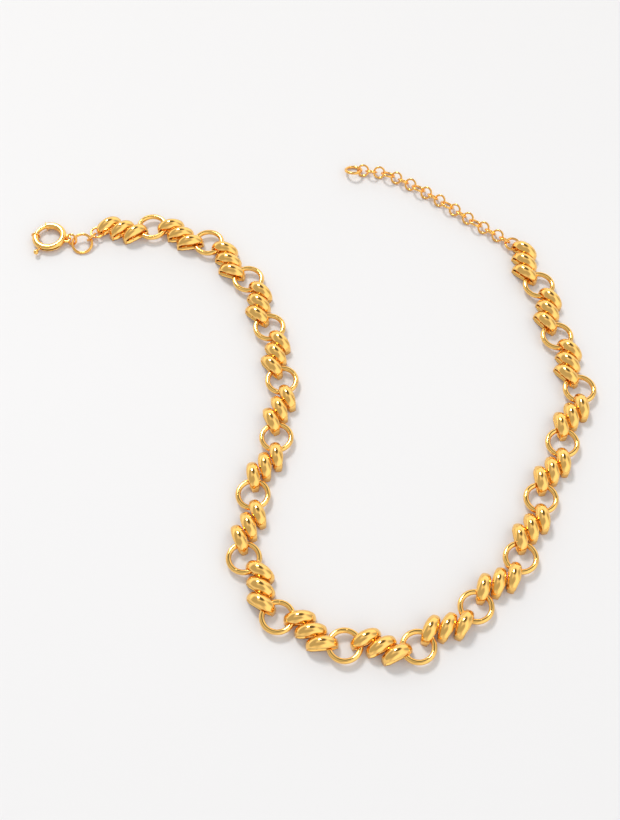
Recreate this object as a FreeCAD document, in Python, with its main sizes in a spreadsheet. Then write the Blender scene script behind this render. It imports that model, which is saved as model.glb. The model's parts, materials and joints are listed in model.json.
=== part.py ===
"""Chain necklace: groups of domed links and round wire rings, a bolt-ring clasp and an extender chain.

The necklace lies flat on the plane Z = 0, at rest, in one loose open loop. Lengths are in millimetres.
The chain runs from the clasp, link group 1, ring 1, link group 2 and so on, to group 19 and the extender.
"""
import FreeCAD, Part
import math
import os

import Sketcher
from FreeCAD import Placement, Rotation, Vector

doc = FreeCAD.newDocument("chain_necklace")
UP = Vector(0, 0, 1)

# ---------------------------------------------------------------- driving dimensions
DIMENSIONS = [
    # main chain
    ("pitch", 20.3),              # from one round ring's centre to the next
    ("ring_radius", 4.42),        # round ring: centre line of the wire
    ("ring_wire", 1.6),
    ("link_length", 9.2),         # domed link, over its two feet
    ("link_width", 3.7),
    ("link_height", 5.2),
    ("link_crown", 0.8),          # how far the band's crown stands over its rims
    ("link_wall", 0.6),           # at the crown
    ("link_rim", 0.45),           # at the rims
    ("link_spring", 1.4),         # height at which the feet start to arch over
    ("link_corner", 2.9),         # radius of the arch's shoulders
    ("link_plan_length", 10.6),   # the oval that trims the link, seen from above
    ("link_plan_width", 3.8),
    ("bar_width", 1.2),           # bottom bar that closes the arch
    ("bar_thick", 0.6),
    ("bar_base", 0.6),
    ("bar_inset", 0.36),          # from a foot's outer face to the bar's end, inside the wall
    ("link_step_along", 4.3),     # from one link of a group to the next
    ("link_step_across", 2.1),
    ("link_turn", 28.0),          # degrees, from the chain's line to a link's long axis
    ("connector_wire", 0.45),
    ("connector_play", 0.1),
    ("connector_base", 0.02),     # height of the loop's underside
    ("play", 0.05),               # between a ring and the bar that it rests on
    ("link_gap", 0.1),            # between the wires of two interlinked small rings
    ("loose_gap", 0.26),          # the same, where a leaning ring holds a flat one
    # clasp
    ("clasp_radius", 4.6),        # centre line of the bolt ring's tube
    ("clasp_tube", 2.3),
    ("clasp_bore", 1.62),
    ("bolt_wire", 1.46),
    ("opening_angle", 60.0),      # degrees of the ring that the bolt opens
    ("bolt_seat", 8.0),           # degrees of the bolt's tip inside the tube
    ("bolt_travel", 64.0),
    ("bolt_length", 140.0),       # degrees of the bolt along the ring
    ("spring_length", 84.0),
    ("slot_width", 1.1),
    ("stem_wire", 0.7),
    ("thumb_diameter", 1.7),
    ("collar_wire", 0.36),
    ("eye_radius", 1.2),
    ("eye_wire", 0.8),
    ("eye_bite", 0.2),            # how deep the eye sits in the tube
    ("collar_play", 0.02),
    # small rings
    ("jump_wire", 0.75),
    ("jump_radius", 1.7),
    ("joining_radius", 2.05),
    ("plain_radius", 3.25),
    ("plain_wire", 0.9),
    ("first_radius", 2.3),
    ("first_wire", 0.8),
    ("small_radius", 1.8),
    ("small_wire", 0.7),
    ("large_radius", 2.2),
    ("end_radius", 2.65),
    ("end_wire", 0.95),
]

# Directions along the chain, in degrees counter-clockwise from +X.
GROUP_HEADINGS = [6, -19, -48, -69, -78, -94, -109, -96, -61, -24, -1, 35, 47, 68, 66, 69, 104, 101, 112]
CLASP_HEADING = 172
RUN_HEADINGS = [143, 139, 142, 148, 171]
LARGE_HEADINGS = [141, 140, 145, 156, 180]
RUN_COUNTS = [4, 3, 3, 3, 3]      # small rings in each run of the extender
SMALL_TILT = 45                   # degrees that the extender's rings lean, alternately to each side
LARGE_TILT = 35
END_TILT = 25
JUMP_TILT = 60
PLAIN_TILT = 18
CLASP_RINGS = [                   # name, radius, wire, lean and heading, from the first link outwards
    ("small_jump_ring", "jump_radius", "jump_wire", JUMP_TILT, 231),
    ("plain_ring", "plain_radius", "plain_wire", PLAIN_TILT, 214),
    ("clasp_jump_ring", "jump_radius", "jump_wire", -JUMP_TILT, 158),
]
OPENING_START = 115               # degrees round the clasp, where its opening begins
EYE_ANGLE = -5
FOOT_TO_CLASP_RING = 4.55         # from a link's middle to the middle of the small ring on its foot
FOOT_TO_EXTENDER_RING = 4.7
BORE_PLAY = 2                     # degrees of empty bore past the spring and past the bolt's tip
KNOB_INSET = 4                    # degrees from the bolt's end to its knob
SLOT_BEFORE, SLOT_EXTRA = 5, 14   # degrees of slot before the knob, and beyond the bolt's travel
SPRING_PLAY = 0.5                 # degrees from the bolt's end to the spring
COLLAR_INSET = 3                  # degrees from the opening to the middle of each collar


def make_sheet():
    sheet = doc.addObject("Spreadsheet::Sheet", "Sizes")
    for row, (alias, value) in enumerate(DIMENSIONS, start=1):
        sheet.set(f"A{row}", alias)
        sheet.set(f"B{row}", str(value))
        sheet.setAlias(f"B{row}", alias)
    doc.recompute()
    return sheet


sizes = make_sheet()


def size(alias):
    return float(getattr(sizes, alias))


def bind(obj, **expressions):
    """Binds an object's properties to formulas of the sheet's aliases, where $ stands for the sheet."""
    for name, formula in expressions.items():
        obj.setExpression(name, formula.replace("$", "Sizes."))


def heading(degrees):
    return Vector(math.cos(math.radians(degrees)), math.sin(math.radians(degrees)), 0)


# ---------------------------------------------------------------- domed link
def origin_plane(body, role):
    return next(plane for plane in body.Origin.OriginFeatures if plane.Role == role)


def sketch_on(body, role, name):
    sketch = body.newObject("Sketcher::SketchObject", name)
    sketch.AttachmentSupport = [(origin_plane(body, role), "")]
    sketch.MapMode = "FlatFace"
    return sketch


def fix(sketch, kind, formula, name, *where):
    """Adds a dimension to a sketch and binds it to a formula, where $ stands for the sheet."""
    index = sketch.addConstraint(Sketcher.Constraint(kind, *where))
    sketch.renameConstraint(index, name)
    sketch.setExpression(f"Constraints.{name}", formula.replace("$", "Sizes."))


def pin(sketch, edge, *ends):
    """Fixes an edge's start, then its end, at (x, y) formulas of the sheet's aliases."""
    for end, formulas in enumerate(ends, start=1):
        point = sketch.getPoint(edge, end)
        for axis, now, formula in zip("XY", (point.x, point.y), formulas):
            fix(sketch, f"Distance{axis}", formula, f"{axis.lower()}_{edge}_{end}", -1, 1, edge, end, now)


def add_line(sketch, start, end, *formulas):
    edge = sketch.addGeometry(Part.LineSegment(Vector(*start, 0), Vector(*end, 0)), False)
    pin(sketch, edge, *formulas)


def add_arc(sketch, start, middle, end, bend, *formulas):
    """An arc through three points.

    bend is ("Radius", formula) or, for a half circle, ("Centre", formula of its centre's X).
    The other formulas are those of its first and last points.
    """
    edge = sketch.addGeometry(Part.Arc(Vector(*start, 0), Vector(*middle, 0), Vector(*end, 0)), False)
    first = sketch.getPoint(edge, 1)
    swapped = math.hypot(first.x - start[0], first.y - start[1]) > 1e-6     # arcs run counter-clockwise
    pin(sketch, edge, *(reversed(formulas) if swapped else formulas))
    kind, formula = bend
    if kind == "Radius":
        fix(sketch, "Radius", formula, f"radius_{edge}", edge, sketch.Geometry[edge].Radius)
    else:
        fix(sketch, "DistanceX", formula, f"centre_{edge}", -1, 1, edge, 3, sketch.getPoint(edge, 3).x)


def minus(formula):
    return f"-({formula})"


def add_box(sketch, x, y, across, aside):
    """A rectangle about the origin: its half sizes, and their formulas."""
    corners = [(-1, -1), (1, -1), (1, 1), (-1, 1)]
    for (x0, y0), (x1, y1) in zip(corners, corners[1:] + corners[:1]):
        add_line(sketch, (x0 * x, y0 * y), (x1 * x, y1 * y),
                 (f"{x0} * ({across})", f"{y0} * ({aside})"), (f"{x1} * ({across})", f"{y1} * ({aside})"))


def band_section(body):
    """The band's crowned section, at the foot of the arch."""
    half, side = size("link_length") / 2, size("link_width") / 2
    crown, wall, rim = size("link_crown"), size("link_wall"), size("link_rim")
    aside, edge = "$link_width / 2", "$link_length / 2 - $link_crown"
    inside = f"{edge} - $link_rim"
    sag = "($link_crown + $link_rim - $link_wall)"
    section = sketch_on(body, "XY_Plane", "band_section")
    outer, inner = half - crown, half - crown - rim
    add_arc(section, (outer, -side), (half, 0), (outer, side),
            ("Radius", f"(({aside})^2 + $link_crown^2) / (2 * $link_crown)"),
            (edge, minus(aside)), (edge, aside))
    add_line(section, (outer, side), (inner, side), (edge, aside), (inside, aside))
    add_arc(section, (inner, side), (half - wall, 0), (inner, -side),
            ("Radius", f"(({aside})^2 + {sag}^2) / (2 * {sag})"), (inside, aside), (inside, minus(aside)))
    add_line(section, (inner, -side), (outer, -side), (inside, minus(aside)), (edge, minus(aside)))
    return section


def arch_path(body):
    """The crown's line along the arch: a straight foot, a shoulder and a flatter top, then the same again."""
    half, spring, corner = size("link_length") / 2, size("link_spring"), size("link_corner")
    rise = size("link_height") - spring
    top = ((half - corner) ** 2 + rise**2 - corner**2) / (2 * (rise - corner))
    lean = math.atan2(half - corner, top - rise)             # from upright, where shoulder meets top

    def on_shoulder(angle, sign):
        return (sign * (half - corner + corner * math.sin(angle)), spring + corner * math.cos(angle))

    run, lift = "($link_length / 2 - $link_corner)", "($link_height - $link_spring)"
    radius = f"(({run}^2 + {lift}^2 - $link_corner^2) / (2 * ({lift} - $link_corner)))"
    foot = "$link_length / 2"
    out = f"{run} + $link_corner * {run} / ({radius} - $link_corner)"
    up = f"$link_spring + $link_corner * ({radius} - {lift}) / ({radius} - $link_corner)"
    upright = math.radians(90)
    path = sketch_on(body, "XZ_Plane", "arch_path")
    add_line(path, (half, 0), (half, spring), (foot, "0"), (foot, "$link_spring"))
    add_arc(path, (half, spring), on_shoulder((lean + upright) / 2, 1), on_shoulder(lean, 1),
            ("Radius", "$link_corner"), (foot, "$link_spring"), (out, up))
    add_arc(path, on_shoulder(lean, 1), (0, size("link_height")), on_shoulder(lean, -1),
            ("Radius", radius), (out, up), (minus(out), up))
    add_arc(path, on_shoulder(lean, -1), on_shoulder((lean + upright) / 2, -1), (-half, spring),
            ("Radius", "$link_corner"), (minus(out), up), (minus(foot), "$link_spring"))
    add_line(path, (-half, spring), (-half, 0), (minus(foot), "$link_spring"), (minus(foot), "0"))
    return path


def make_domed_link():
    """A hollow-backed arch of crowned band on two feet, trimmed to an oval and closed by a bar below."""
    body = doc.addObject("PartDesign::Body", "domed_link")
    section, path = band_section(body), arch_path(body)
    doc.recompute()
    arch = body.newObject("PartDesign::AdditivePipe", "arch")
    arch.Profile = section
    arch.Spine = path
    doc.recompute()

    bar_sketch = sketch_on(body, "XY_Plane", "bar_outline")
    add_box(bar_sketch, size("link_length") / 2 - size("bar_inset"), size("bar_width") / 2,
            "$link_length / 2 - $bar_inset", "$bar_width / 2")
    bind(bar_sketch, **{"AttachmentOffset.Base.z": "$bar_base"})
    bar = body.newObject("PartDesign::Pad", "bottom_bar")
    bar.Profile = bar_sketch
    bind(bar, Length="$bar_thick")
    doc.recompute()

    trim_sketch = sketch_on(body, "XY_Plane", "oval_trim")
    add_box(trim_sketch, size("link_length"), size("link_length"), "$link_length", "$link_length")
    oval = trim_sketch.addGeometry(
        Part.Ellipse(Vector(0, 0, 0), size("link_plan_length") / 2, size("link_plan_width") / 2), False)
    trim_sketch.addConstraint(Sketcher.Constraint("Coincident", oval, 3, -1, 1))
    trim = body.newObject("PartDesign::Pocket", "trim")
    trim.Profile = trim_sketch
    trim.Type = 1
    trim.Midplane = True
    doc.recompute()
    return body


def make_connector():
    """A small oval wire loop round the bottom bars of two neighbouring links, in its own YZ plane."""
    wire = size("connector_wire")
    low = wire / 2 + size("connector_base")
    high = size("bar_base") + size("bar_thick") + size("connector_play") + wire / 2
    end = (high - low) / 2
    run = across_step() / 2 + size("bar_width") / 2 + size("connector_play") + wire / 2 - end

    bottom = "($connector_wire / 2 + $connector_base)"
    top = "($bar_base + $bar_thick + $connector_play + $connector_wire / 2)"
    bend = f"(({top} - {bottom}) / 2)"
    step = "(($link_step_along * sin($link_turn) + $link_step_across * cos($link_turn)) / 2)"
    out = f"({step} + $bar_width / 2 + $connector_play + $connector_wire / 2 - {bend})"
    body = doc.addObject("PartDesign::Body", "connector")
    path = sketch_on(body, "YZ_Plane", "loop_path")
    add_line(path, (-run, low), (run, low), (minus(out), bottom), (out, bottom))
    add_arc(path, (run, low), (run + end, low + end), (run, high), ("Centre", out), (out, bottom), (out, top))
    add_line(path, (run, high), (-run, high), (out, top), (minus(out), top))
    add_arc(path, (-run, high), (-run - end, low + end), (-run, low),
            ("Centre", minus(out)), (minus(out), top), (minus(out), bottom))
    section = sketch_on(body, "XZ_Plane", "wire_section")
    round_wire = section.addGeometry(Part.Circle(Vector(0, low, 0), UP, wire / 2), False)
    fix(section, "DistanceX", "0", "centre_x", -1, 1, round_wire, 3, 0)
    fix(section, "DistanceY", bottom, "centre_y", -1, 1, round_wire, 3, low)
    fix(section, "Radius", "$connector_wire / 2", "wire", round_wire, wire / 2)
    doc.recompute()
    loop = body.newObject("PartDesign::AdditivePipe", "loop")
    loop.Profile = section
    loop.Spine = path
    doc.recompute()
    return body


def link_offset():
    """From one link's centre to the next, in a link's own directions: (along its long axis, across it)."""
    turn = math.radians(size("link_turn"))
    ahead, aside = size("link_step_along"), -size("link_step_across")
    return (ahead * math.cos(turn) + aside * math.sin(turn),
            -ahead * math.sin(turn) + aside * math.cos(turn))


def across_step():
    return abs(link_offset()[1])


# ---------------------------------------------------------------- nodes
nodes = []


def shape_node(name, shape, place):
    node = doc.addObject("Part::Feature", name)
    node.Label = name
    node.Shape = shape
    node.Placement = place
    nodes.append(node)
    return node


def ring_node(name, radius, wire, centre, lean=0.0, along=0.0):
    """A closed wire ring whose plane holds the direction `along` and leans over by `lean` degrees."""
    node = doc.addObject("Part::Torus", name)
    node.Label = name
    bind(node, Radius1=f"${radius}", Radius2=f"${wire} / 2")
    node.Placement = Placement(centre, Rotation(UP, along) * Rotation(Vector(1, 0, 0), lean))
    nodes.append(node)
    return node


def main_chain():
    """Returns the centres of the groups and of the rings between them, with group 1 at the origin."""
    centres, rings = [Vector(0, 0, 0)], []
    for before, after in zip(GROUP_HEADINGS, GROUP_HEADINGS[1:]):
        ring = centres[-1] + heading(before) * (size("pitch") / 2)
        rings.append(ring)
        centres.append(ring + heading(after) * (size("pitch") / 2))
    return centres, rings


def link_place(number):
    """A link's place in its group: number is -1, 0 or 1."""
    base = Vector(number * size("link_step_along"), -number * size("link_step_across"), 0)
    return Placement(base, Rotation(UP, size("link_turn")))


def make_groups(link, connector, centres):
    along, across = link_offset()
    parts = []
    for number in (-1, 0, 1):
        piece = link.Shape.copy()
        piece.Placement = link_place(number)
        parts.append(piece)
    for number in (-1, 0):
        loop = connector.Shape.copy()
        loop.Placement = link_place(number) * Placement(Vector(along / 2, across / 2, 0), Rotation())
        parts.append(loop)
    group = Part.makeCompound(parts)
    for number, (centre, angle) in enumerate(zip(centres, GROUP_HEADINGS), start=1):
        shape_node(f"domed_links_{number:02d}", group.copy(), Placement(centre, Rotation(UP, angle)))


def ring_height(wire):
    """The height of a flat ring that rests on the links' bottom bars."""
    return size("bar_base") + size("bar_thick") + size("play") + size(wire) / 2


def make_round_rings(centres):
    for number, centre in enumerate(centres, start=1):
        ring_node(f"round_ring_{number:02d}", "ring_radius", "ring_wire",
                  centre + UP * ring_height("ring_wire"))


def reach(radius, wires, gap="link_gap"):
    """From a ring's centre to the middle of its contact with the next ring."""
    return size(radius) - (size(wires[0]) + size(wires[1])) / 4 - size(gap) / 2


def lean_height(radius, wire, lean):
    """The height of the centre of a leaning ring that touches the ground."""
    return size(radius) * math.sin(math.radians(lean)) + size(wire) / 2


def make_extender(start):
    """The joining ring round the last link's foot, then runs of small rings between larger ones."""
    ring_node("extender_joining_ring", "first_radius", "first_wire", start + UP * ring_height("first_wire"))
    place, wire, radius = start, "first_wire", "first_radius"
    direction = RUN_HEADINGS[0]
    height = lean_height("small_radius", "small_wire", SMALL_TILT)
    lean = SMALL_TILT
    contacts = []
    for number, count in enumerate(RUN_COUNTS, start=1):
        run_heading, next_heading = RUN_HEADINGS[number - 1], LARGE_HEADINGS[number - 1]
        gap = "loose_gap" if number == 1 else "link_gap"
        contact = place + heading(direction) * reach(radius, (wire, "small_wire"), gap)
        contacts.append(contact)
        step = 2 * reach("small_radius", ("small_wire", "small_wire"))
        first = contact + heading(run_heading) * reach("small_radius", (wire, "small_wire"), gap)
        rings = []
        for n in range(count):
            ring = Part.makeTorus(size("small_radius"), size("small_wire") / 2)
            ring.Placement = Placement(Vector(n * step, 0, 0), Rotation(Vector(1, 0, 0), lean))
            rings.append(ring)
            lean = -lean
        shape_node(f"extender_run_{number}", Part.makeCompound(rings),
                   Placement(first + UP * height, Rotation(UP, run_heading)))
        last = first + heading(run_heading) * (step * (count - 1))
        final = number == len(RUN_COUNTS)
        radius = "end_radius" if final else "large_radius"
        wire = "end_wire" if final else "small_wire"
        gap = "loose_gap" if final else "link_gap"
        contact = last + heading(run_heading) * reach("small_radius", ("small_wire", wire), gap)
        contacts.append(contact)
        place = contact + heading(next_heading) * reach(radius, ("small_wire", wire), gap)
        large_lean = math.copysign(END_TILT if final else LARGE_TILT, lean)
        name = "extender_end_ring" if final else f"extender_ring_{number}"
        ring_node(name, radius, wire, place + UP * height, large_lean, next_heading)
        lean = -lean
        direction = next_heading
    return contacts


def make_clasp(start):
    """The small rings from the first link's foot to the clasp, then the bolt ring."""
    ring_node("joining_jump_ring", "joining_radius", "jump_wire", start + UP * ring_height("jump_wire"))
    contacts = []
    place, radius, wire, direction = start, "joining_radius", "jump_wire", CLASP_RINGS[0][-1]
    for name, next_radius, next_wire, lean, turn in CLASP_RINGS:
        wires = (wire, next_wire)
        contact = place + heading(direction) * reach(radius, wires, "loose_gap")
        contacts.append(contact)
        place = contact + heading(turn) * reach(next_radius, wires, "loose_gap")
        height = lean_height(next_radius, next_wire, abs(lean))
        flat = name == "plain_ring"
        ring_node(name, next_radius, next_wire, place + UP * height, lean, 0 if flat else turn)
        radius, wire = next_radius, next_wire
        direction = CLASP_RINGS[len(contacts)][-1] if flat else turn
    wires = (wire, "eye_wire")
    contact = place + heading(direction) * reach(radius, wires, "loose_gap")
    contacts.append(contact)
    eye = contact + heading(CLASP_HEADING) * reach("eye_radius", wires, "loose_gap")
    make_bolt_ring(eye, CLASP_HEADING)
    return contacts


def tube_arc(name, wire, start, length, radius="$clasp_radius"):
    """Part of a torus round the clasp's centre, from a start angle over a length formula, in degrees."""
    arc = doc.addObject("Part::Torus", name)
    bind(arc, Radius1=radius, Radius2=wire, Angle3=length)
    arc.Placement = Placement(Vector(0, 0, 0), Rotation(UP, start))
    return arc


def combine(kind, name, base, tool):
    result = doc.addObject(kind, name)
    if kind == "Part::Cut":
        result.Base, result.Tool = base, tool
    else:
        result.Shapes = [base, *tool]
    return result


def make_bolt_ring(eye, direction):
    """The clasp's tube with its eye, its sliding bolt and thumb knob, the spring and the two collars."""
    eye_out = size("clasp_radius") + size("clasp_tube") / 2 + size("eye_wire") / 2 - size("eye_bite")
    centre = eye + heading(direction) * eye_out
    collar = size("clasp_tube") / 2 + size("collar_wire") + size("collar_play")
    turn = direction + 180 - EYE_ANGLE
    place = Placement(centre + UP * collar, Rotation(UP, turn))
    opening_end = OPENING_START + size("opening_angle")
    tip = OPENING_START - size("bolt_seat")
    bolt_end = tip + size("bolt_length")
    knob_angle = bolt_end - KNOB_INSET

    tube = tube_arc("tube_outside", "$clasp_tube / 2", opening_end, "360 - $opening_angle")
    bore = tube_arc("tube_bore", "$clasp_bore / 2", opening_end, "$bolt_length + $spring_length"
                    f" - $opening_angle - $bolt_seat + {BORE_PLAY}")
    seat = tube_arc("tip_seat", "$clasp_bore / 2", tip - BORE_PLAY, f"$bolt_seat + {BORE_PLAY}")
    slot = tube_arc("thumb_slot", "$slot_width / 2", knob_angle - SLOT_BEFORE,
                    f"$bolt_travel + {SLOT_EXTRA}", "$clasp_radius + $clasp_tube / 2")
    hollow = combine("Part::Cut", "tube_bored", tube, bore)
    seated = combine("Part::Cut", "tube_seated", hollow, seat)
    slotted = combine("Part::Cut", "tube_slotted", seated, slot)
    eye_ring = doc.addObject("Part::Torus", "eye_ring")
    bind(eye_ring, Radius1="$eye_radius", Radius2="$eye_wire / 2")
    eye_ring.Placement = Placement(heading(EYE_ANGLE) * eye_out, Rotation())
    shell = combine("Part::MultiFuse", "clasp_body", slotted, [eye_ring])
    shell.Placement = place

    bolt = tube_arc("bolt_arc", "$bolt_wire / 2", tip, "$bolt_length")
    stem = doc.addObject("Part::Cylinder", "knob_stem")
    bind(stem, Radius="$stem_wire / 2", Height="$clasp_tube / 2 + $thumb_diameter")
    side = Rotation(UP, knob_angle) * Rotation(Vector(0, 1, 0), 90)
    stem.Placement = Placement(heading(knob_angle) * size("clasp_radius"), side)
    head = doc.addObject("Part::Sphere", "knob_head")
    bind(head, Radius="$thumb_diameter / 2")
    knob_out = size("clasp_radius") + size("clasp_tube") / 2 + size("thumb_diameter")
    head.Placement = Placement(heading(knob_angle) * knob_out, Rotation())
    slider = combine("Part::MultiFuse", "clasp_bolt", bolt, [stem, head])
    slider.Placement = place

    coil = tube_arc("spring_outside", "$bolt_wire / 2", bolt_end + SPRING_PLAY, "$spring_length")
    core = tube_arc("spring_inside", "$bolt_wire / 4", bolt_end, f"$spring_length + {2 * SPRING_PLAY}")
    spring = combine("Part::Cut", "clasp_spring", coil, core)
    spring.Placement = place

    collars = []
    for number, angle in enumerate((OPENING_START - COLLAR_INSET, opening_end + COLLAR_INSET), start=1):
        band = doc.addObject("Part::Torus", f"collar_{number}")
        bind(band, Radius1="($clasp_tube + $collar_wire) / 2 + $collar_play", Radius2="$collar_wire / 2")
        band.Placement = Placement(heading(angle) * size("clasp_radius"),
                                   Rotation(UP, angle) * Rotation(Vector(1, 0, 0), 90))
        collars.append(band)
    pair = doc.addObject("Part::Compound", "clasp_collars")
    pair.Links = collars
    pair.Placement = place
    for node in (shell, slider, spring, pair):
        node.Label = node.Name
        nodes.append(node)


# ---------------------------------------------------------------- assembly
def check(objects):
    for obj in objects:
        if {"Invalid", "Error"} & set(obj.State):
            raise SystemExit(f"{obj.Name} failed: {obj.State}")


def centre_on_origin():
    """Moves every node so that the middle of the whole necklace's box is over the origin, on Z = 0."""
    box = FreeCAD.BoundBox()
    for node in nodes:
        box.add(node.Shape.optimalBoundingBox(False))
    shift = Vector(-(box.XMin + box.XMax) / 2, -(box.YMin + box.YMax) / 2, -box.ZMin)
    for node in nodes:
        node.Placement = Placement(shift, Rotation()) * node.Placement
    doc.recompute()
    return shift


def export():
    os.makedirs("parts", exist_ok=True)
    for node in nodes:
        shape = node.Shape
        if shape.isNull() or not shape.isValid():
            raise SystemExit(f"{node.Label} has no valid shape")
        shape.exportStep(f"parts/{node.Label}.step")


domed_link = make_domed_link()
connector = make_connector()
group_centres, ring_centres = main_chain()
make_groups(domed_link, connector, group_centres)
make_round_rings(ring_centres)


def foot_ring_centre(group, number, distance):
    """The centre of a small ring round the outer foot of a group's first (-1) or last (1) link."""
    place = Placement(group_centres[group], Rotation(UP, GROUP_HEADINGS[group])) * link_place(number)
    return place.multVec(Vector(number * distance, 0, 0))


clasp_contacts = make_clasp(foot_ring_centre(0, -1, FOOT_TO_CLASP_RING))
extender_contacts = make_extender(foot_ring_centre(-1, 1, FOOT_TO_EXTENDER_RING))
doc.recompute()
check(doc.Objects)
offset = centre_on_origin()
check(doc.Objects)
export()
print("nodes", len(nodes), "shift", offset)
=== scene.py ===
"""Looks for the chain necklace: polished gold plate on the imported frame, on a pale studio floor."""
import json
import math
import random

import bmesh
import bpy
import numpy as np
from mathutils import Matrix, Vector


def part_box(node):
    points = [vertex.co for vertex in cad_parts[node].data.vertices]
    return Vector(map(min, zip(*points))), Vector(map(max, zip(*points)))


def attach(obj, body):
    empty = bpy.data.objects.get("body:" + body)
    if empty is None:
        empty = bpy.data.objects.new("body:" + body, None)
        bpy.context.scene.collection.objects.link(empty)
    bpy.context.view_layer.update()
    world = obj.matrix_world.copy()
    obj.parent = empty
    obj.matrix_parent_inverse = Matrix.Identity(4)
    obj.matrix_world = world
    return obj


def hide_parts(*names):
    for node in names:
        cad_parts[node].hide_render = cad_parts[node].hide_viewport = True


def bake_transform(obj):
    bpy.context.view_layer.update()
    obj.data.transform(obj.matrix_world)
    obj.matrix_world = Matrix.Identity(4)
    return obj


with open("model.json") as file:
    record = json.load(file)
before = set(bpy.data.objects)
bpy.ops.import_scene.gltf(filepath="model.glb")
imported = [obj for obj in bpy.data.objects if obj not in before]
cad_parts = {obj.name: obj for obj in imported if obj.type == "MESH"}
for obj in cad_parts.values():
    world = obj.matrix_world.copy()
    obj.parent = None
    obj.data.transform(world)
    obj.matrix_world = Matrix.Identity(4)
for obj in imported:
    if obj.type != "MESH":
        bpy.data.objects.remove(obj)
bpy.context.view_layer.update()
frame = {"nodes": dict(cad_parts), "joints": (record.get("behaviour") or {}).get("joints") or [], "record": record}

rng = random.Random(7)
scene = bpy.context.scene
nodes = frame["nodes"]
joints = {joint["name"]: joint for joint in frame["joints"]}
body_of_node = {node: body for body, members in frame["record"]["behaviour"]["bodies"].items()
                for node in members}
slot_of_node = {part["node"]: part["material_slot"] for part in frame["record"]["subparts"]}

MM = 0.001
UP = Vector((0, 0, 1))

# The domed link, in millimetres and degrees, as the CAD has it
LINK_LENGTH, LINK_HEIGHT, LINK_WIDTH = 9.2, 5.2, 3.7
LINK_CROWN, LINK_WALL, LINK_RIM = 0.8, 0.6, 0.45
LINK_SPRING, LINK_CORNER = 1.4, 2.9
PLAN_LENGTH, PLAN_WIDTH = 10.6, 3.8
BAR_WIDTH, BAR_THICK, BAR_BASE = 1.2, 0.6, 0.6
STEP_ALONG, STEP_ACROSS, LINK_TURN = 4.3, 2.1, 28.0
CONNECTOR_WIRE, CONNECTOR_PLAY, CONNECTOR_BASE = 0.45, 0.1, 0.02

# What the visual link adds to it
TOP_CROWN = 1.25                      # the crown is deeper at the top of the arch
RIM_POINTS = ((0.10, 0.45), (0.13, 1.0), (0.10, 1.55))  # the bulge, and the share of half the wall
BACK_SHARE = 0.955                    # the hollow back's width, as a share of the face's
STRIP_WIDTH, STRIP_SAG = 2.9, 0.75    # the strip drawn for the bottom bar, and how far it curves
STRIP_INSET = 0.1                     # how far it stays inside the oval plan
STRIP_THICK, STRIP_EDGE = 0.6, 0.8    # shares of the bar's thickness, and of that at the edges
STRIP_BACK = 0.98                     # its underside's width, as a share of the top's
STRIP_BITE = 0.6                      # how far it leaves the wall free, as a share of the wall

# The groove of each wire ring's closed joint, with angles in radians
SEAM_STEPS, SEAM_HALF = (-0.03, -0.014, 0.0, 0.014, 0.03), 0.008
SEAM_WIRE = 0.93                      # the wire's radius in the groove, as a share
SEAM_RANGE = (0.3, 6.0)               # where it may be
WELD = 1e-7                           # metres within which a CAD mesh's points are one

# The clasp, in millimetres and degrees along its circle
CLASP_RADIUS, TUBE_RADIUS, BORE_RADIUS, BOLT_RADIUS = 4.6, 1.15, 0.81, 0.73
OPENING_START, OPENING_ANGLE, BOLT_SEAT, BOLT_LENGTH, BOLT_TRAVEL = 115, 60, 8, 140, 64
SLOT_BEFORE, SLOT_EXTRA, SLOT_HALF = 7, 10, 0.42
EYE_ANGLE, EYE_RADIUS, EYE_WIRE, EYE_BITE = -5, 1.2, 0.4, 0.2
THUMB_RADIUS, THUMB_INSET, THUMB_STEPS, STEM_RADIUS = 0.85, 4, 12, 0.35
COLLAR_WIRE, COLLAR_PLAY, COLLAR_INSET = 0.18, 0.02, 3
SPRING_RADIUS, SPRING_WIRE, SPRING_ANGLE, SPRING_PLAY = 0.52, 0.11, 122, 1.5
SPRING_TURNS, SPRING_STEPS = 24, 24
TUBE_EDGE = (0.10, 0.03)              # how far the tube's first two steps roll in
ROD_EDGE = (0.7, 0.93)                # the rod's radius at its first two steps, as a share

# Gold, floor, light and camera, in metres
GOLD_BASE, GOLD_PAINTED_SHADE = (1.0, 0.62, 0.19), (0.95, 0.42, 0.06)     # open faces, and the painted shade and reflection mixed into recesses
GOLD_WARMER = (1.0, 0.955, 0.86)      # the tint's warm end, as a share of the base
# how far the painted shade in recesses reaches, in metres
PAINTED_SHADE_REACH = 0.0022
POLISH_STRETCH, POLISH_TURN = (9000, 1400, 9000), (0.4, 0.7, 0.9)
FLOOR_HALF, FLOOR_DROP = 2.0, 2e-5
FLOOR_TONES = ((0.798, 0.806, 0.826), (0.816, 0.825, 0.846))
FLOOR_PAINTED_SHADE, FLOOR_SHADE_SPAN = (0.66, 0.662, 0.666), (0.0, 0.7)         # the painted shade on the far floor, where the light falls off, and where in Y it comes in
WORLD_COLOUR, PANEL_LEVELS = (1.0, 0.985, 0.96, 1), (0.54, 1.28)
DARK_CENTRE, DARK_LEVEL = (0.05, 0.46, 0.89), 0.10      # the dark part's direction and brightness
DARK_EDGE = (0.86, 0.968)             # cosines of the angle to it where it begins and is full
KEY_PLACE, KEY_SIZE, KEY_WATTS, KEY_COLOUR = (-0.62, 1.35, 1.85), 0.50, 27.0, (1.0, 0.975, 0.95)
CAMERA_PLACE = (0.0024, -0.19445, 0.31975)
CAMERA_DOWN = 59.79                   # degrees below the horizon
LENS, SENSOR, CAMERA_CLIP = 35.12, 24.0, (0.01, 20)


# ---------------------------------------------------------------- materials
def node_tree(name):
    """A new material, its node tree and its shader."""
    material = bpy.data.materials.new(name)
    material.use_nodes = True
    tree = material.node_tree
    return material, tree, tree.nodes["Principled BSDF"]


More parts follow.
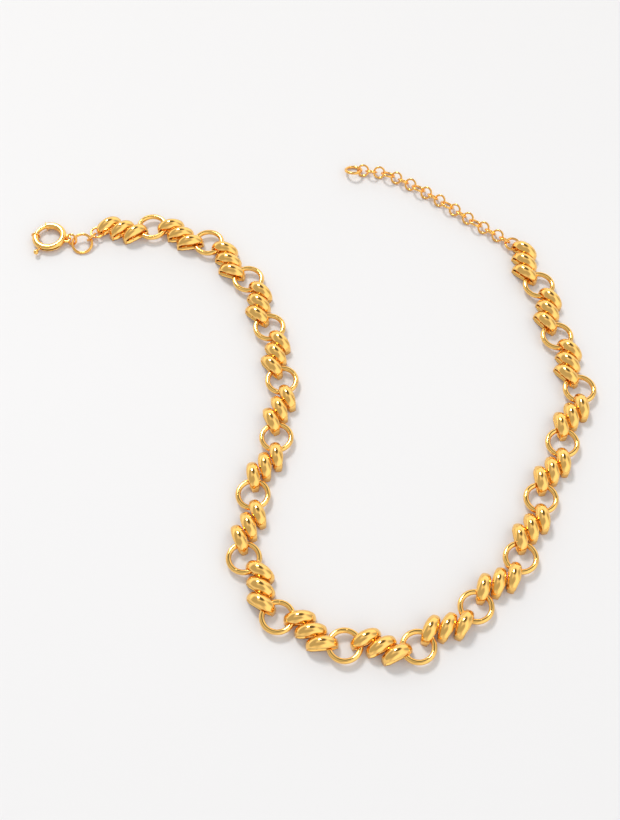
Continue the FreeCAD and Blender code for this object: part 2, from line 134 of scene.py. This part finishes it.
def add_node(tree, kind, **settings):
    """A node; each setting is the value of an input or of a property."""
    made = tree.nodes.new(kind)
    for key, value in settings.items():
        if key in made.inputs:
            made.inputs[key].default_value = value
        else:
            setattr(made, key, value)
    return made


def noise(tree, place, **settings):
    """The value of a noise texture over the place socket."""
    made = add_node(tree, "ShaderNodeTexNoise", **settings)
    tree.links.new(place, made.inputs["Vector"])
    return made.outputs["Fac"]


def ramp(tree, source, span, gives):
    """The source socket with its range span mapped to the range gives."""
    made = add_node(tree, "ShaderNodeMapRange")
    made.inputs["From Min"].default_value, made.inputs["From Max"].default_value = span
    made.inputs["To Min"].default_value, made.inputs["To Max"].default_value = gives
    tree.links.new(source, made.inputs["Value"])
    return made.outputs["Result"]


def mix(tree, factor, first, second):
    """A colour mix; first and second are each a colour or a socket."""
    made = add_node(tree, "ShaderNodeMix", data_type="RGBA")
    tree.links.new(factor, made.inputs["Factor"])
    for name, value in (("A", first), ("B", second)):
        if isinstance(value, tuple):
            made.inputs[name].default_value = (*value, 1)
        else:
            tree.links.new(value, made.inputs[name])
    return made.outputs["Result"]


def bump(tree, height, distance, below=None):
    """The normal of a bump, laid over the normal socket below."""
    made = add_node(tree, "ShaderNodeBump", Strength=1.0, Distance=distance)
    tree.links.new(height, made.inputs["Height"])
    if below is not None:
        tree.links.new(below, made.inputs["Normal"])
    return made.outputs["Normal"]


def gold(name, base, rough, wave, scratches):
    """Polished plate: roughness in patches, a tint, painted shade and reflection in recesses, slow waves and fine
    polishing lines. wave and scratches are the heights of the last two, in metres."""
    material, tree, shader = node_tree(name)
    shader.inputs["Metallic"].default_value = 1.0
    place = add_node(tree, "ShaderNodeTexCoord").outputs["Object"]
    patches = noise(tree, place, Scale=420.0, Detail=4.0, Roughness=0.6)
    tree.links.new(ramp(tree, patches, (0.35, 0.7), rough), shader.inputs["Roughness"])

    warmer = tuple(value * share for value, share in zip(base, GOLD_WARMER))
    tinted = mix(tree, noise(tree, place, Scale=160.0, Detail=3.0), base, warmer)
    # Painted shade and reflection: recesses are mixed towards a deeper orange, standing in for shade and
    # gold-on-gold reflection
    occlusion = add_node(tree, "ShaderNodeAmbientOcclusion", samples=8, Distance=PAINTED_SHADE_REACH)
    painted_shade = ramp(tree, occlusion.outputs["AO"], (0.15, 0.75), (0.85, 0.0))
    tree.links.new(mix(tree, painted_shade, tinted, GOLD_PAINTED_SHADE), shader.inputs["Base Color"])

    waves = noise(tree, place, Scale=520.0, Detail=1.5, Roughness=0.4)
    stretch = add_node(tree, "ShaderNodeMapping", Scale=POLISH_STRETCH, Rotation=POLISH_TURN)
    tree.links.new(place, stretch.inputs["Vector"])
    lines = noise(tree, stretch.outputs["Vector"], Scale=1.0, Detail=3.0, Roughness=0.7)
    normal = bump(tree, lines, scratches, below=bump(tree, waves, wave))
    tree.links.new(normal, shader.inputs["Normal"])
    return material


def steel(name):
    """Drawn spring wire: a fine grain in its colour and roughness."""
    material, tree, shader = node_tree(name)
    shader.inputs["Metallic"].default_value = 1.0
    place = add_node(tree, "ShaderNodeTexCoord").outputs["Object"]
    grain = noise(tree, place, Scale=5000.0, Detail=4.0)
    colour = mix(tree, grain, (0.5, 0.49, 0.47), (0.66, 0.65, 0.63))
    tree.links.new(colour, shader.inputs["Base Color"])
    tree.links.new(ramp(tree, grain, (0.3, 0.7), (0.25, 0.45)), shader.inputs["Roughness"])
    return material


MATERIALS = {
    "polished_gold_links": gold("gold_links", GOLD_BASE, (0.07, 0.15), 1.6e-6, 1.0e-7),
    "polished_gold_rings": gold("gold_rings", GOLD_BASE, (0.08, 0.17), 1.6e-6, 1.5e-7),
    "gold_clasp": gold("gold_clasp", (1.0, 0.61, 0.18), (0.09, 0.19), 1.4e-6, 1.5e-7),
    "gold_wire": gold("gold_wire", (0.98, 0.55, 0.15), (0.10, 0.22), 1.4e-6, 1.5e-7),
    "spring_steel": steel("spring_steel"),
}


# ---------------------------------------------------------------- mesh helpers
def piece(name, verts, faces, node, still_end=None, moving_end=None):
    """A smooth mesh piece that stands for a CAD node and rides on that node's body.
    With moving_end given, it keeps its place and rides on no body instead; still_end is not used."""
    mesh = bpy.data.meshes.new(name)
    mesh.from_pydata([tuple(v) for v in verts], [], faces)
    mesh.validate()
    work = bmesh.new()
    work.from_mesh(mesh)
    bmesh.ops.recalc_face_normals(work, faces=work.faces)
    work.to_mesh(mesh)
    work.free()
    mesh.polygons.foreach_set("use_smooth", [True] * len(mesh.polygons))
    made = bpy.data.objects.new(name, mesh)
    scene.collection.objects.link(made)
    made.data.materials.append(MATERIALS[slot_of_node[node]])
    if moving_end is None:
        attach(made, body_of_node[node])
    else:
        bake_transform(made)
    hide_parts(node)


def join(parts):
    """Joins (verts, faces) pairs into one."""
    verts, faces = [], []
    for some_verts, some_faces in parts:
        start = len(verts)
        verts.extend(some_verts)
        faces.extend([tuple(start + i for i in face) for face in some_faces])
    return verts, faces


def moved(part, matrix):
    """A (verts, faces) pair put in place by the matrix."""
    return [matrix @ Vector(v) for v in part[0]], part[1]


def skin(sections, count, closed=False):
    """The faces between neighbouring sections of count points each."""
    faces = []
    for i in range(sections if closed else sections - 1):
        here, after = i * count, (i + 1) % sections * count
        for k in range(count):
            following = (k + 1) % count
            faces.append((here + k, here + following, after + following, after + k))
    return faces


def tube(points, frames, radii, closed, sides=20):
    """A round tube along points; frames holds each point's (side, up) pair."""
    verts = []
    for point, (side, up), radius in zip(points, frames, radii):
        for n in range(sides):
            angle = 2 * math.pi * n / sides
            out, rise = radius * math.cos(angle), radius * math.sin(angle)
            verts.append(point + side * out + up * rise)
    faces = skin(len(points), sides, closed)
    if not closed:
        for first in (0, len(verts) - sides):
            faces.append(tuple(range(first, first + sides)))
    return verts, faces


def ring(centre, normal, radius, wire, seam=None, steps=96, sides=24):
    """A wire ring. seam is the angle of its closed joint, a fine groove, or None."""
    first = normal.orthogonal().normalized()
    second = normal.cross(first).normalized()
    angles = [2 * math.pi * i / steps for i in range(steps)]
    if seam is not None:
        angles = sorted(angles + [seam + step for step in SEAM_STEPS])
    points, frames, radii = [], [], []
    for angle in angles:
        out = first * math.cos(angle) + second * math.sin(angle)
        points.append(centre + out * radius)
        frames.append((out, normal))
        in_seam = seam is not None and abs(angle - seam) < SEAM_HALF
        radii.append(wire * (SEAM_WIRE if in_seam else 1.0))
    return tube(points, frames, radii, closed=True, sides=sides)


# ---------------------------------------------------------------- domed links
def arch_point(share):
    """A point of the arch's crest line and its outward normal, in the link's XZ plane; share runs
    from 0 to 1. The line goes up a short leg, round a corner and over a flatter top, and back."""
    half = LINK_LENGTH / 2
    rise = LINK_HEIGHT - LINK_SPRING
    top = ((half - LINK_CORNER) ** 2 + rise**2 - LINK_CORNER**2) / (2 * (rise - LINK_CORNER))
    lean = math.atan2(half - LINK_CORNER, top - rise)
    shoulder = math.pi / 2 - lean
    corner_length = LINK_CORNER * shoulder
    total = 2 * (LINK_SPRING + corner_length + top * lean)
    sign = 1 if share <= 0.5 else -1
    along = min(share, 1 - share) * total
    if along <= LINK_SPRING:
        return sign * half, along, sign, 0.0
    along -= LINK_SPRING
    if along <= corner_length:
        angle = along / LINK_CORNER
        x = half - LINK_CORNER + LINK_CORNER * math.cos(angle)
        z = LINK_SPRING + LINK_CORNER * math.sin(angle)
        return sign * x, z, sign * math.cos(angle), math.sin(angle)
    angle = shoulder + (along - corner_length) / top
    z = LINK_SPRING + rise - top + top * math.sin(angle)
    return sign * top * math.cos(angle), z, sign * math.cos(angle), math.sin(angle)


def plan_half_width(x):
    """Half the width of the link's oval plan at x."""
    return PLAN_WIDTH / 2 * math.sqrt(max(0.0, 1 - (x / (PLAN_LENGTH / 2)) ** 2))


def spread(half_width, count):
    """Evenly spaced values from -half_width to half_width."""
    return [-half_width + 2 * half_width * k / (count - 1) for k in range(count)]


def rim(first, last):
    """The rounded edge between two corners, each a (y, drop) pair."""
    (y0, drop0), (y1, drop1) = first, last
    out = 1 if y0 > 0 else -1
    half = (drop1 - drop0) / 2
    return [((y0 + y1) / 2 + out * bulge, drop0 + half * share) for bulge, share in RIM_POINTS]


def band(steps=56, across=11):
    """The crowned, hollow-backed band of a link, with rounded rims."""
    verts = []
    for i in range(steps + 1):
        x, z, nx, nz = arch_point(i / steps)
        half_width = min(plan_half_width(x), LINK_WIDTH / 2)
        crown = LINK_CROWN + (TOP_CROWN - LINK_CROWN) * max(0.0, nz) ** 2
        radius = ((LINK_WIDTH / 2) ** 2 + crown**2) / (2 * crown)
        face = [(y, radius - math.sqrt(radius**2 - y * y)) for y in spread(half_width, across)]
        back = []
        for y, drop in reversed(face):
            wall = LINK_WALL - (LINK_WALL - LINK_RIM) * (y / (LINK_WIDTH / 2)) ** 2
            back.append((y * BACK_SHARE, drop + wall))
        section = face + rim(face[-1], back[0]) + back + rim(back[-1], face[0])
        for y, drop in section:
            verts.append(Vector((x - nx * drop, y, z - nz * drop)) * MM)
    rim_count = len(RIM_POINTS)
    count = 2 * (across + rim_count)
    faces = skin(steps + 1, count)
    for start in (0, steps * count):
        corner = start + across
        second = corner + rim_count
        last = second + across
        for k in range(across - 1):
            outer, inner = start + k, last - 1 - k
            faces.append((outer, outer + 1, inner - 1, inner))
        faces.append((corner - 1, *range(corner, second), second))
        faces.append((last - 1, *range(last, last + rim_count), start))
    return verts, faces


def bottom_strip(steps=24, across=9):
    """The strip that closes the link below, crowned and highest where the CAD's bar is."""
    reach = LINK_LENGTH / 2 - LINK_WALL * STRIP_BITE
    verts = []
    for i in range(steps + 1):
        x = -reach + 2 * reach * i / steps
        half_width = min(plan_half_width(x) - STRIP_INSET, STRIP_WIDTH / 2)
        top, bottom = [], []
        for k, y in enumerate(spread(half_width, across)):
            z = BAR_BASE + BAR_THICK - STRIP_SAG * (y / (STRIP_WIDTH / 2)) ** 2
            edge = STRIP_EDGE if k in (0, across - 1) else 1.0
            top.append((x, y, z))
            bottom.append((x, y * STRIP_BACK, z - BAR_THICK * edge * STRIP_THICK))
        verts += [Vector(place) * MM for place in top + bottom[::-1]]
    count = 2 * across
    faces = skin(steps + 1, count)
    for first in (0, steps * count):
        last = first + count - 1
        for k in range(across - 1):
            faces.append((first + k, first + k + 1, last - k - 1, last - k))
    return verts, faces


def link_offset():
    """The next link's place, in a link's own directions."""
    turn = math.radians(LINK_TURN)
    return (STEP_ALONG * math.cos(turn) - STEP_ACROSS * math.sin(turn),
            -STEP_ALONG * math.sin(turn) - STEP_ACROSS * math.cos(turn))


def connector(run_steps=8, turn_steps=12):
    """The oval loop round two neighbouring bars, in its own YZ plane."""
    low = CONNECTOR_WIRE / 2 + CONNECTOR_BASE
    high = BAR_BASE + BAR_THICK + CONNECTOR_PLAY + CONNECTOR_WIRE / 2
    end = (high - low) / 2
    run = abs(link_offset()[1]) / 2 + BAR_WIDTH / 2 + CONNECTOR_PLAY + CONNECTOR_WIRE / 2 - end
    points, frames = [], []

    def add(y, z, out_y, out_z):
        points.append(Vector((0, y, z)) * MM)
        frames.append((Vector((0, out_y, out_z)), Vector((1, 0, 0))))

    for side, height in ((1, low), (-1, high)):
        for i in range(run_steps):
            add(side * (-run + 2 * run * i / run_steps), height, 0, -side)
        for i in range(turn_steps):
            angle = -side * math.pi / 2 + math.pi * i / turn_steps
            out_y, out_z = math.cos(angle), math.sin(angle)
            add(side * run + end * out_y, low + end + end * out_z, out_y, out_z)
    radii = [CONNECTOR_WIRE / 2 * MM] * len(points)
    return tube(points, frames, radii, closed=True, sides=12)


def group():
    """Three links and the two connectors, in the group's own directions."""
    link = join([band(), bottom_strip()])
    loop = connector()
    along, across = link_offset()
    halfway = Matrix.Translation(Vector((along / 2, across / 2, 0)) * MM)
    parts = []
    for number in (-1, 0, 1):
        place = Matrix.Translation(Vector((number * STEP_ALONG, -number * STEP_ACROSS, 0)) * MM)
        place = place @ Matrix.Rotation(math.radians(LINK_TURN), 4, "Z")
        parts.append(moved(link, place))
        if number < 1:
            parts.append(moved(loop, place @ halfway))
    return join(parts)


def middle(node):
    """The centre of a CAD node's box."""
    low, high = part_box(node)
    return (low + high) / 2


def make_links():
    """A group of links at each group's node, in line with the ring beside it."""
    shape = group()
    count = sum(1 for node in nodes if node.startswith("domed_links_"))
    for number in range(1, count + 1):
        node = f"domed_links_{number:02d}"
        centre = middle(node)
        if number < count:
            ahead = middle(f"round_ring_{number:02d}") - centre
        else:
            ahead = centre - middle(f"round_ring_{number - 1:02d}")
        angle = math.atan2(ahead.y, ahead.x)
        place = Matrix.Translation((centre.x, centre.y, 0)) @ Matrix.Rotation(angle, 4, "Z")
        piece(f"links_{number:02d}", *moved(shape, place), node)


# ---------------------------------------------------------------- wire rings
def solids(node):
    """The vertex arrays of a CAD node's separate solids, in the order of their first vertices."""
    work = bmesh.new()
    work.from_mesh(nodes[node].data)
    bmesh.ops.remove_doubles(work, verts=work.verts, dist=WELD)
    seen, found = set(), []
    for first in work.verts:
        if first in seen:
            continue
        seen.add(first)
        stack, members = [first], []
        while stack:
            vert = stack.pop()
            members.append(vert)
            for edge in vert.link_edges:
                other = edge.other_vert(vert)
                if other not in seen:
                    seen.add(other)
                    stack.append(other)
        found.append(np.array([v.co[:] for v in members]))
    work.free()
    return found


def remake_ring(points, seam):
    """A smooth ring with the centre, plane and sizes of a CAD torus's points."""
    centre = (points.min(0) + points.max(0)) / 2
    offsets = points - centre
    normal = np.linalg.svd(offsets, full_matrices=False)[2][2]
    height = offsets @ normal
    distance = np.linalg.norm(offsets - np.outer(height, normal), axis=1)
    wire = (distance.max() - distance.min()) / 2
    direction = Vector(normal)
    if direction.z < 0:
        direction = -direction
    return ring(Vector(centre), direction, float(distance.max() - wire), float(wire), seam)


def make_rings():
    """Every node made of wire rings, each ring with its joint turned at random."""
    for node in sorted(nodes):
        if node.startswith(("domed_links", "clasp_")) and node != "clasp_jump_ring":
            continue
        parts = [remake_ring(points, rng.uniform(*SEAM_RANGE)) for points in solids(node)]
        piece(node.replace("round_ring", "ring") + "_wire", *join(parts), node)


# ---------------------------------------------------------------- clasp
def clasp_place():
    """The clasp's own frame: its centre, turned so that the eye is at EYE_ANGLE."""
    centre = Vector(joints["bolt_slide"]["pos_m"])
    eye = Vector(joints["clasp_swing"]["pos_m"]) - centre
    turn = math.atan2(eye.y, eye.x) - math.radians(EYE_ANGLE)
    return Matrix.Translation(centre) @ Matrix.Rotation(turn, 4, "Z")


def around(angle, radius=CLASP_RADIUS, height=0.0):
    """A place at an angle round the clasp's centre."""
    turn = math.radians(angle)
    return Vector((radius * math.cos(turn), radius * math.sin(turn), height)) * MM


def outward(angle):
    """The direction away from the clasp's centre at an angle."""
    return around(angle, 1).normalized()


def tube_shell(start, length, slot_start, slot_length, steps=150, sides=32):
    """The clasp's tube, with rolled open ends and a slot along its outer side."""
    angles = [start + length * i / steps for i in range(steps + 1)]
    verts, faces = [], []
    for wall in (TUBE_RADIUS, BORE_RADIUS):
        for i, angle in enumerate(angles):
            from_end = min(i, steps - i)
            rolled = wall == TUBE_RADIUS and from_end < len(TUBE_EDGE)
            radius = wall - TUBE_EDGE[from_end] if rolled else wall
            for n in range(sides):
                turn = 2 * math.pi * (n + 0.5) / sides
                out, rise = radius * math.cos(turn), radius * math.sin(turn)
                verts.append(around(angle, CLASP_RADIUS + out, rise))
    layer = (steps + 1) * sides

    def in_slot(i, n):
        turn = 2 * math.pi * (n + 1) / sides
        angle = (angles[i] + angles[i + 1]) / 2
        return (slot_start <= angle <= slot_start + slot_length
                and abs(math.sin(turn)) * TUBE_RADIUS < SLOT_HALF and math.cos(turn) > 0)

    for i in range(steps):
        for n in range(sides):
            if in_slot(i, n):
                continue
            a, b = i * sides + n, i * sides + (n + 1) % sides
            c, d = b + sides, a + sides
            faces.append((a, b, c, d))
            faces.append((a + layer, d + layer, c + layer, b + layer))
            for (first, last), beside, n_beside in (
                    ((a, b), i - 1, n), ((d, c), i + 1, n),
                    ((a, d), i, (n - 1) % sides), ((b, c), i, (n + 1) % sides)):
                if 0 <= beside < steps and in_slot(beside, n_beside):
                    faces.append((first, last, last + layer, first + layer))
    for i in (0, steps):
        for n in range(sides):
            a, b = i * sides + n, i * sides + (n + 1) % sides
            faces.append((a, b, b + layer, a + layer))
    return verts, faces


def solid_arc(start, length, radius, steps=60):
    """A round rod bent along the clasp's circle, with rounded ends."""
    points, frames, radii = [], [], []
    for i in range(steps + 1):
        angle = start + length * i / steps
        points.append(around(angle))
        frames.append((outward(angle), UP))
        from_end = min(i, steps - i)
        radii.append(radius * MM * (ROD_EDGE[from_end] if from_end < len(ROD_EDGE) else 1.0))
    return tube(points, frames, radii, closed=False)


def turned(profile, place, sides=28):
    """A solid of revolution about its own Z, from (radius, height) points."""
    verts = []
    for radius, height in profile:
        for n in range(sides):
            angle = 2 * math.pi * n / sides
            verts.append(Vector((radius * math.cos(angle), radius * math.sin(angle), height)) * MM)
    return moved((verts, skin(len(profile), sides)), place)


def knob(angle):
    """The thumb knob and its stem, standing out from the bolt at an angle."""
    centre = TUBE_RADIUS + 2 * THUMB_RADIUS
    profile = [(0.0, 0.0), (STEM_RADIUS, 0.0), (STEM_RADIUS, centre - THUMB_RADIUS)]
    for k in range(1, THUMB_STEPS + 1):
        turn = math.pi * k / THUMB_STEPS
        profile.append((THUMB_RADIUS * math.sin(turn), centre - THUMB_RADIUS * math.cos(turn)))
    out = Matrix.Rotation(math.radians(angle), 4, "Z") @ Matrix.Rotation(math.pi / 2, 4, "Y")
    return turned(profile, Matrix.Translation(around(angle)) @ out)


def collars(opening_end):
    """The wire collars on the tube's two ends."""
    radius = TUBE_RADIUS + COLLAR_WIRE + COLLAR_PLAY
    parts = []
    for angle in (OPENING_START - COLLAR_INSET, opening_end + COLLAR_INSET):
        parts.append(ring(around(angle), outward(angle + 90), radius * MM, COLLAR_WIRE * MM,
                          steps=48, sides=14))
    return join(parts)


def coil_spring(start):
    """The spring in the bore, coiled along the clasp's circle from an angle onwards."""
    steps = SPRING_TURNS * SPRING_STEPS
    points, frames = [], []
    for i in range(steps + 1):
        angle = start + SPRING_ANGLE * i / steps
        twist = 2 * math.pi * i / SPRING_STEPS
        out = outward(angle) * math.cos(twist) + UP * math.sin(twist)
        points.append(around(angle) + out * SPRING_RADIUS * MM)
        frames.append((out, outward(angle + 90)))
    return tube(points, frames, [SPRING_WIRE * MM] * len(points), closed=False, sides=8)


def make_clasp():
    """The clasp: the tube with its eye, the bolt across the opening, the collars and the spring."""
    place = clasp_place()
    opening_end = OPENING_START + OPENING_ANGLE
    bolt_start = OPENING_START - BOLT_SEAT
    bolt_end = bolt_start + BOLT_LENGTH
    shell = tube_shell(opening_end, 360 - OPENING_ANGLE,
                       bolt_end - SLOT_BEFORE, BOLT_TRAVEL + SLOT_EXTRA)
    eye_out = CLASP_RADIUS + TUBE_RADIUS + EYE_WIRE - EYE_BITE
    eye = ring(around(EYE_ANGLE, eye_out), UP, EYE_RADIUS * MM, EYE_WIRE * MM, steps=64, sides=20)
    piece("clasp_tube", *moved(join([shell, eye]), place), "clasp_body")

    bolt = join([solid_arc(bolt_start, BOLT_LENGTH, BOLT_RADIUS), knob(bolt_end - THUMB_INSET)])
    piece("clasp_bolt_and_knob", *moved(bolt, place), "clasp_bolt")
    piece("clasp_end_collars", *moved(collars(opening_end), place), "clasp_collars")

    spring_start = bolt_end + SPRING_PLAY
    piece("clasp_coil_spring", *moved(coil_spring(spring_start), place), "clasp_spring",
          still_end=place @ around(spring_start + SPRING_ANGLE),
          moving_end=place @ around(spring_start))


# ---------------------------------------------------------------- floor, light and camera
def make_floor():
    """A matt floor in two close tones, with painted shade making it a little darker away from the camera."""
    half = FLOOR_HALF
    corners = [(-half, -half, 0), (half, -half, 0), (half, half, 0), (-half, half, 0)]
    mesh = bpy.data.meshes.new("floor")
    mesh.from_pydata(corners, [], [(0, 1, 2, 3)])
    floor = bpy.data.objects.new("floor", mesh)
    floor.location.z = -FLOOR_DROP
    scene.collection.objects.link(floor)

    material, tree, shader = node_tree("floor_white")
    shader.inputs["Roughness"].default_value = 0.55
    shader.inputs["Specular IOR Level"].default_value = 0.04
    place = add_node(tree, "ShaderNodeTexCoord").outputs["Object"]
    near = mix(tree, noise(tree, place, Scale=3.0, Detail=3.0), *FLOOR_TONES)
    # Painted shade: the floor is mixed towards the far tone along Y, standing in for the light falling off away
    # from the camera
    split = add_node(tree, "ShaderNodeSeparateXYZ")
    tree.links.new(place, split.inputs["Vector"])
    far_shade = ramp(tree, split.outputs["Y"], FLOOR_SHADE_SPAN, (0.0, 1.0))
    tree.links.new(mix(tree, far_shade, near, FLOOR_PAINTED_SHADE), shader.inputs["Base Color"])
    floor.data.materials.append(material)


def make_key_light():
    """A soft rectangular light high up on the far left, aimed at the necklace's middle."""
    data = bpy.data.lights.new("key", "AREA")
    data.shape = "RECTANGLE"
    data.size = data.size_y = KEY_SIZE
    data.energy = KEY_WATTS
    data.color = KEY_COLOUR
    light = bpy.data.objects.new("key", data)
    light.location = KEY_PLACE
    light.rotation_euler = (-Vector(KEY_PLACE)).to_track_quat("-Z", "Y").to_euler()
    scene.collection.objects.link(light)


def make_world():
    """A pale studio with soft brighter and darker panels, and a dark part high behind the
    necklace."""
    world = bpy.data.worlds.new("studio")
    scene.world = world
    world.use_nodes = True
    tree = world.node_tree
    place = add_node(tree, "ShaderNodeTexCoord").outputs["Generated"]
    panels = ramp(tree, noise(tree, place, Scale=0.95, Detail=0.0), (0.40, 0.60), PANEL_LEVELS)
    towards = add_node(tree, "ShaderNodeVectorMath", operation="DOT_PRODUCT")
    towards.inputs[1].default_value = Vector(DARK_CENTRE).normalized()
    tree.links.new(place, towards.inputs[0])
    dark = ramp(tree, towards.outputs["Value"], DARK_EDGE, (1.0, DARK_LEVEL))
    level = add_node(tree, "ShaderNodeMath", operation="MULTIPLY")
    tree.links.new(panels, level.inputs[0])
    tree.links.new(dark, level.inputs[1])
    background = tree.nodes["Background"]
    background.inputs["Color"].default_value = WORLD_COLOUR
    tree.links.new(level.outputs["Value"], background.inputs["Strength"])


def make_camera():
    """A camera in front of the necklace, looking down on it."""
    data = bpy.data.cameras.new("camera")
    data.sensor_fit = "VERTICAL"
    data.sensor_height = SENSOR
    data.lens = LENS
    data.clip_start, data.clip_end = CAMERA_CLIP
    camera = bpy.data.objects.new("camera", data)
    camera.location = CAMERA_PLACE
    camera.rotation_euler = (math.radians(90 - CAMERA_DOWN), 0, 0)
    scene.collection.objects.link(camera)
    scene.camera = camera


make_links()
make_rings()
make_clasp()
make_floor()
make_world()
make_key_light()
make_camera()
scene.view_settings.view_transform = "Standard"
